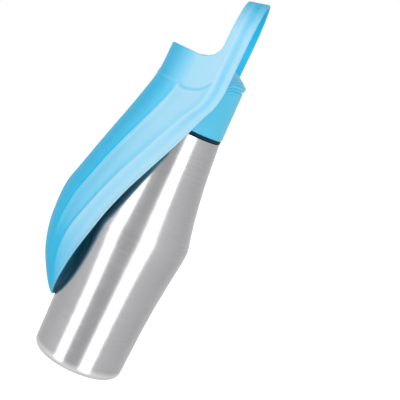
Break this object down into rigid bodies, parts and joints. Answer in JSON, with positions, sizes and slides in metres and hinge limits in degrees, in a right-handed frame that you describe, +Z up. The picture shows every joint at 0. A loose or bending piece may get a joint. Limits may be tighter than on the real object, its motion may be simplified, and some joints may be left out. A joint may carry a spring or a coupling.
{
  "type": "dog travel water bottle",
  "caption": "Steel water bottle with a screw-on valve head, a push-button, and a leaf-shaped drinking trough that folds down over the bottle and carries a strap loop.",
  "frame": {"origin": "centre of the bottle's flat base, on the surface that it stands on", "axes": "+Z up along the bottle's axis, -Y to the front where the trough and button are, +X to the side that the picture shows"},
  "size_m": [0.0814, 0.1033, 0.2951],
  "materials": {
    "steel": "fine brushed stainless steel, satin",
    "bright_steel": "bright stainless wire and turned pins",
    "head_plastic": "sky-blue moulded plastic, soft gloss",
    "trough_silicone": "light-blue food silicone, satin",
    "spout_silicone": "pale-blue silicone, satin",
    "seal_silicone": "translucent white silicone, satin",
    "dark_rubber": "near-black rubber with a teal cast",
    "white_resin": "white moulded resin, matt"
  },
  "bodies": {
    "bottle": {"bottle_shell": "steel", "bottle_base": "steel"},
    "ring": {"shoulder_gasket": "dark_rubber"},
    "head": {"head_shell": "head_plastic", "head_top": "head_plastic", "valve_body": "white_resin", "sealing_washer": "seal_silicone", "stem_o_ring": "dark_rubber", "gland_ring": "white_resin", "return_spring": "bright_steel", "chamber_plug": "white_resin", "plug_o_ring": "dark_rubber", "button_bezel": "head_plastic", "outlet_spout": "spout_silicone", "vent_valve": "seal_silicone", "head_screws": "bright_steel", "pivot_pin_left": "bright_steel", "pivot_pin_right": "bright_steel"},
    "button": {"button_cap": "head_plastic", "valve_stem": "white_resin", "poppet_seal": "seal_silicone"},
    "trough": {"trough": "trough_silicone", "pivot_bush_left": "head_plastic", "pivot_bush_right": "head_plastic"}
  },
  "joints": [
    {"name": "head_lift", "type": "slide", "parent": "bottle", "child": "ring", "axis": [0, 0, 1], "range_m": [0, 0.006]},
    {"name": "head_turn", "type": "hinge", "parent": "ring", "child": "head", "pos_m": [0, 0, 0.194], "axis": [0, 0, 1], "range_deg": [0, 540]},
    {"name": "button_press", "type": "slide", "parent": "head", "child": "button", "axis": [0, 1, 0], "range_m": [0, 0.003], "stiffness_N_per_m": 300, "springref_m": -0.003, "deforming": ["return_spring"]},
    {"name": "trough_flip", "type": "hinge", "parent": "head", "child": "trough", "pos_m": [0, 0, 0.218], "axis": [-1, 0, 0], "range_deg": [0, 140]}
  ],
  "couplings": [
    {"joint": "head_lift", "follows": "head_turn", "m_per_rad": 0.00063662}
  ]
}
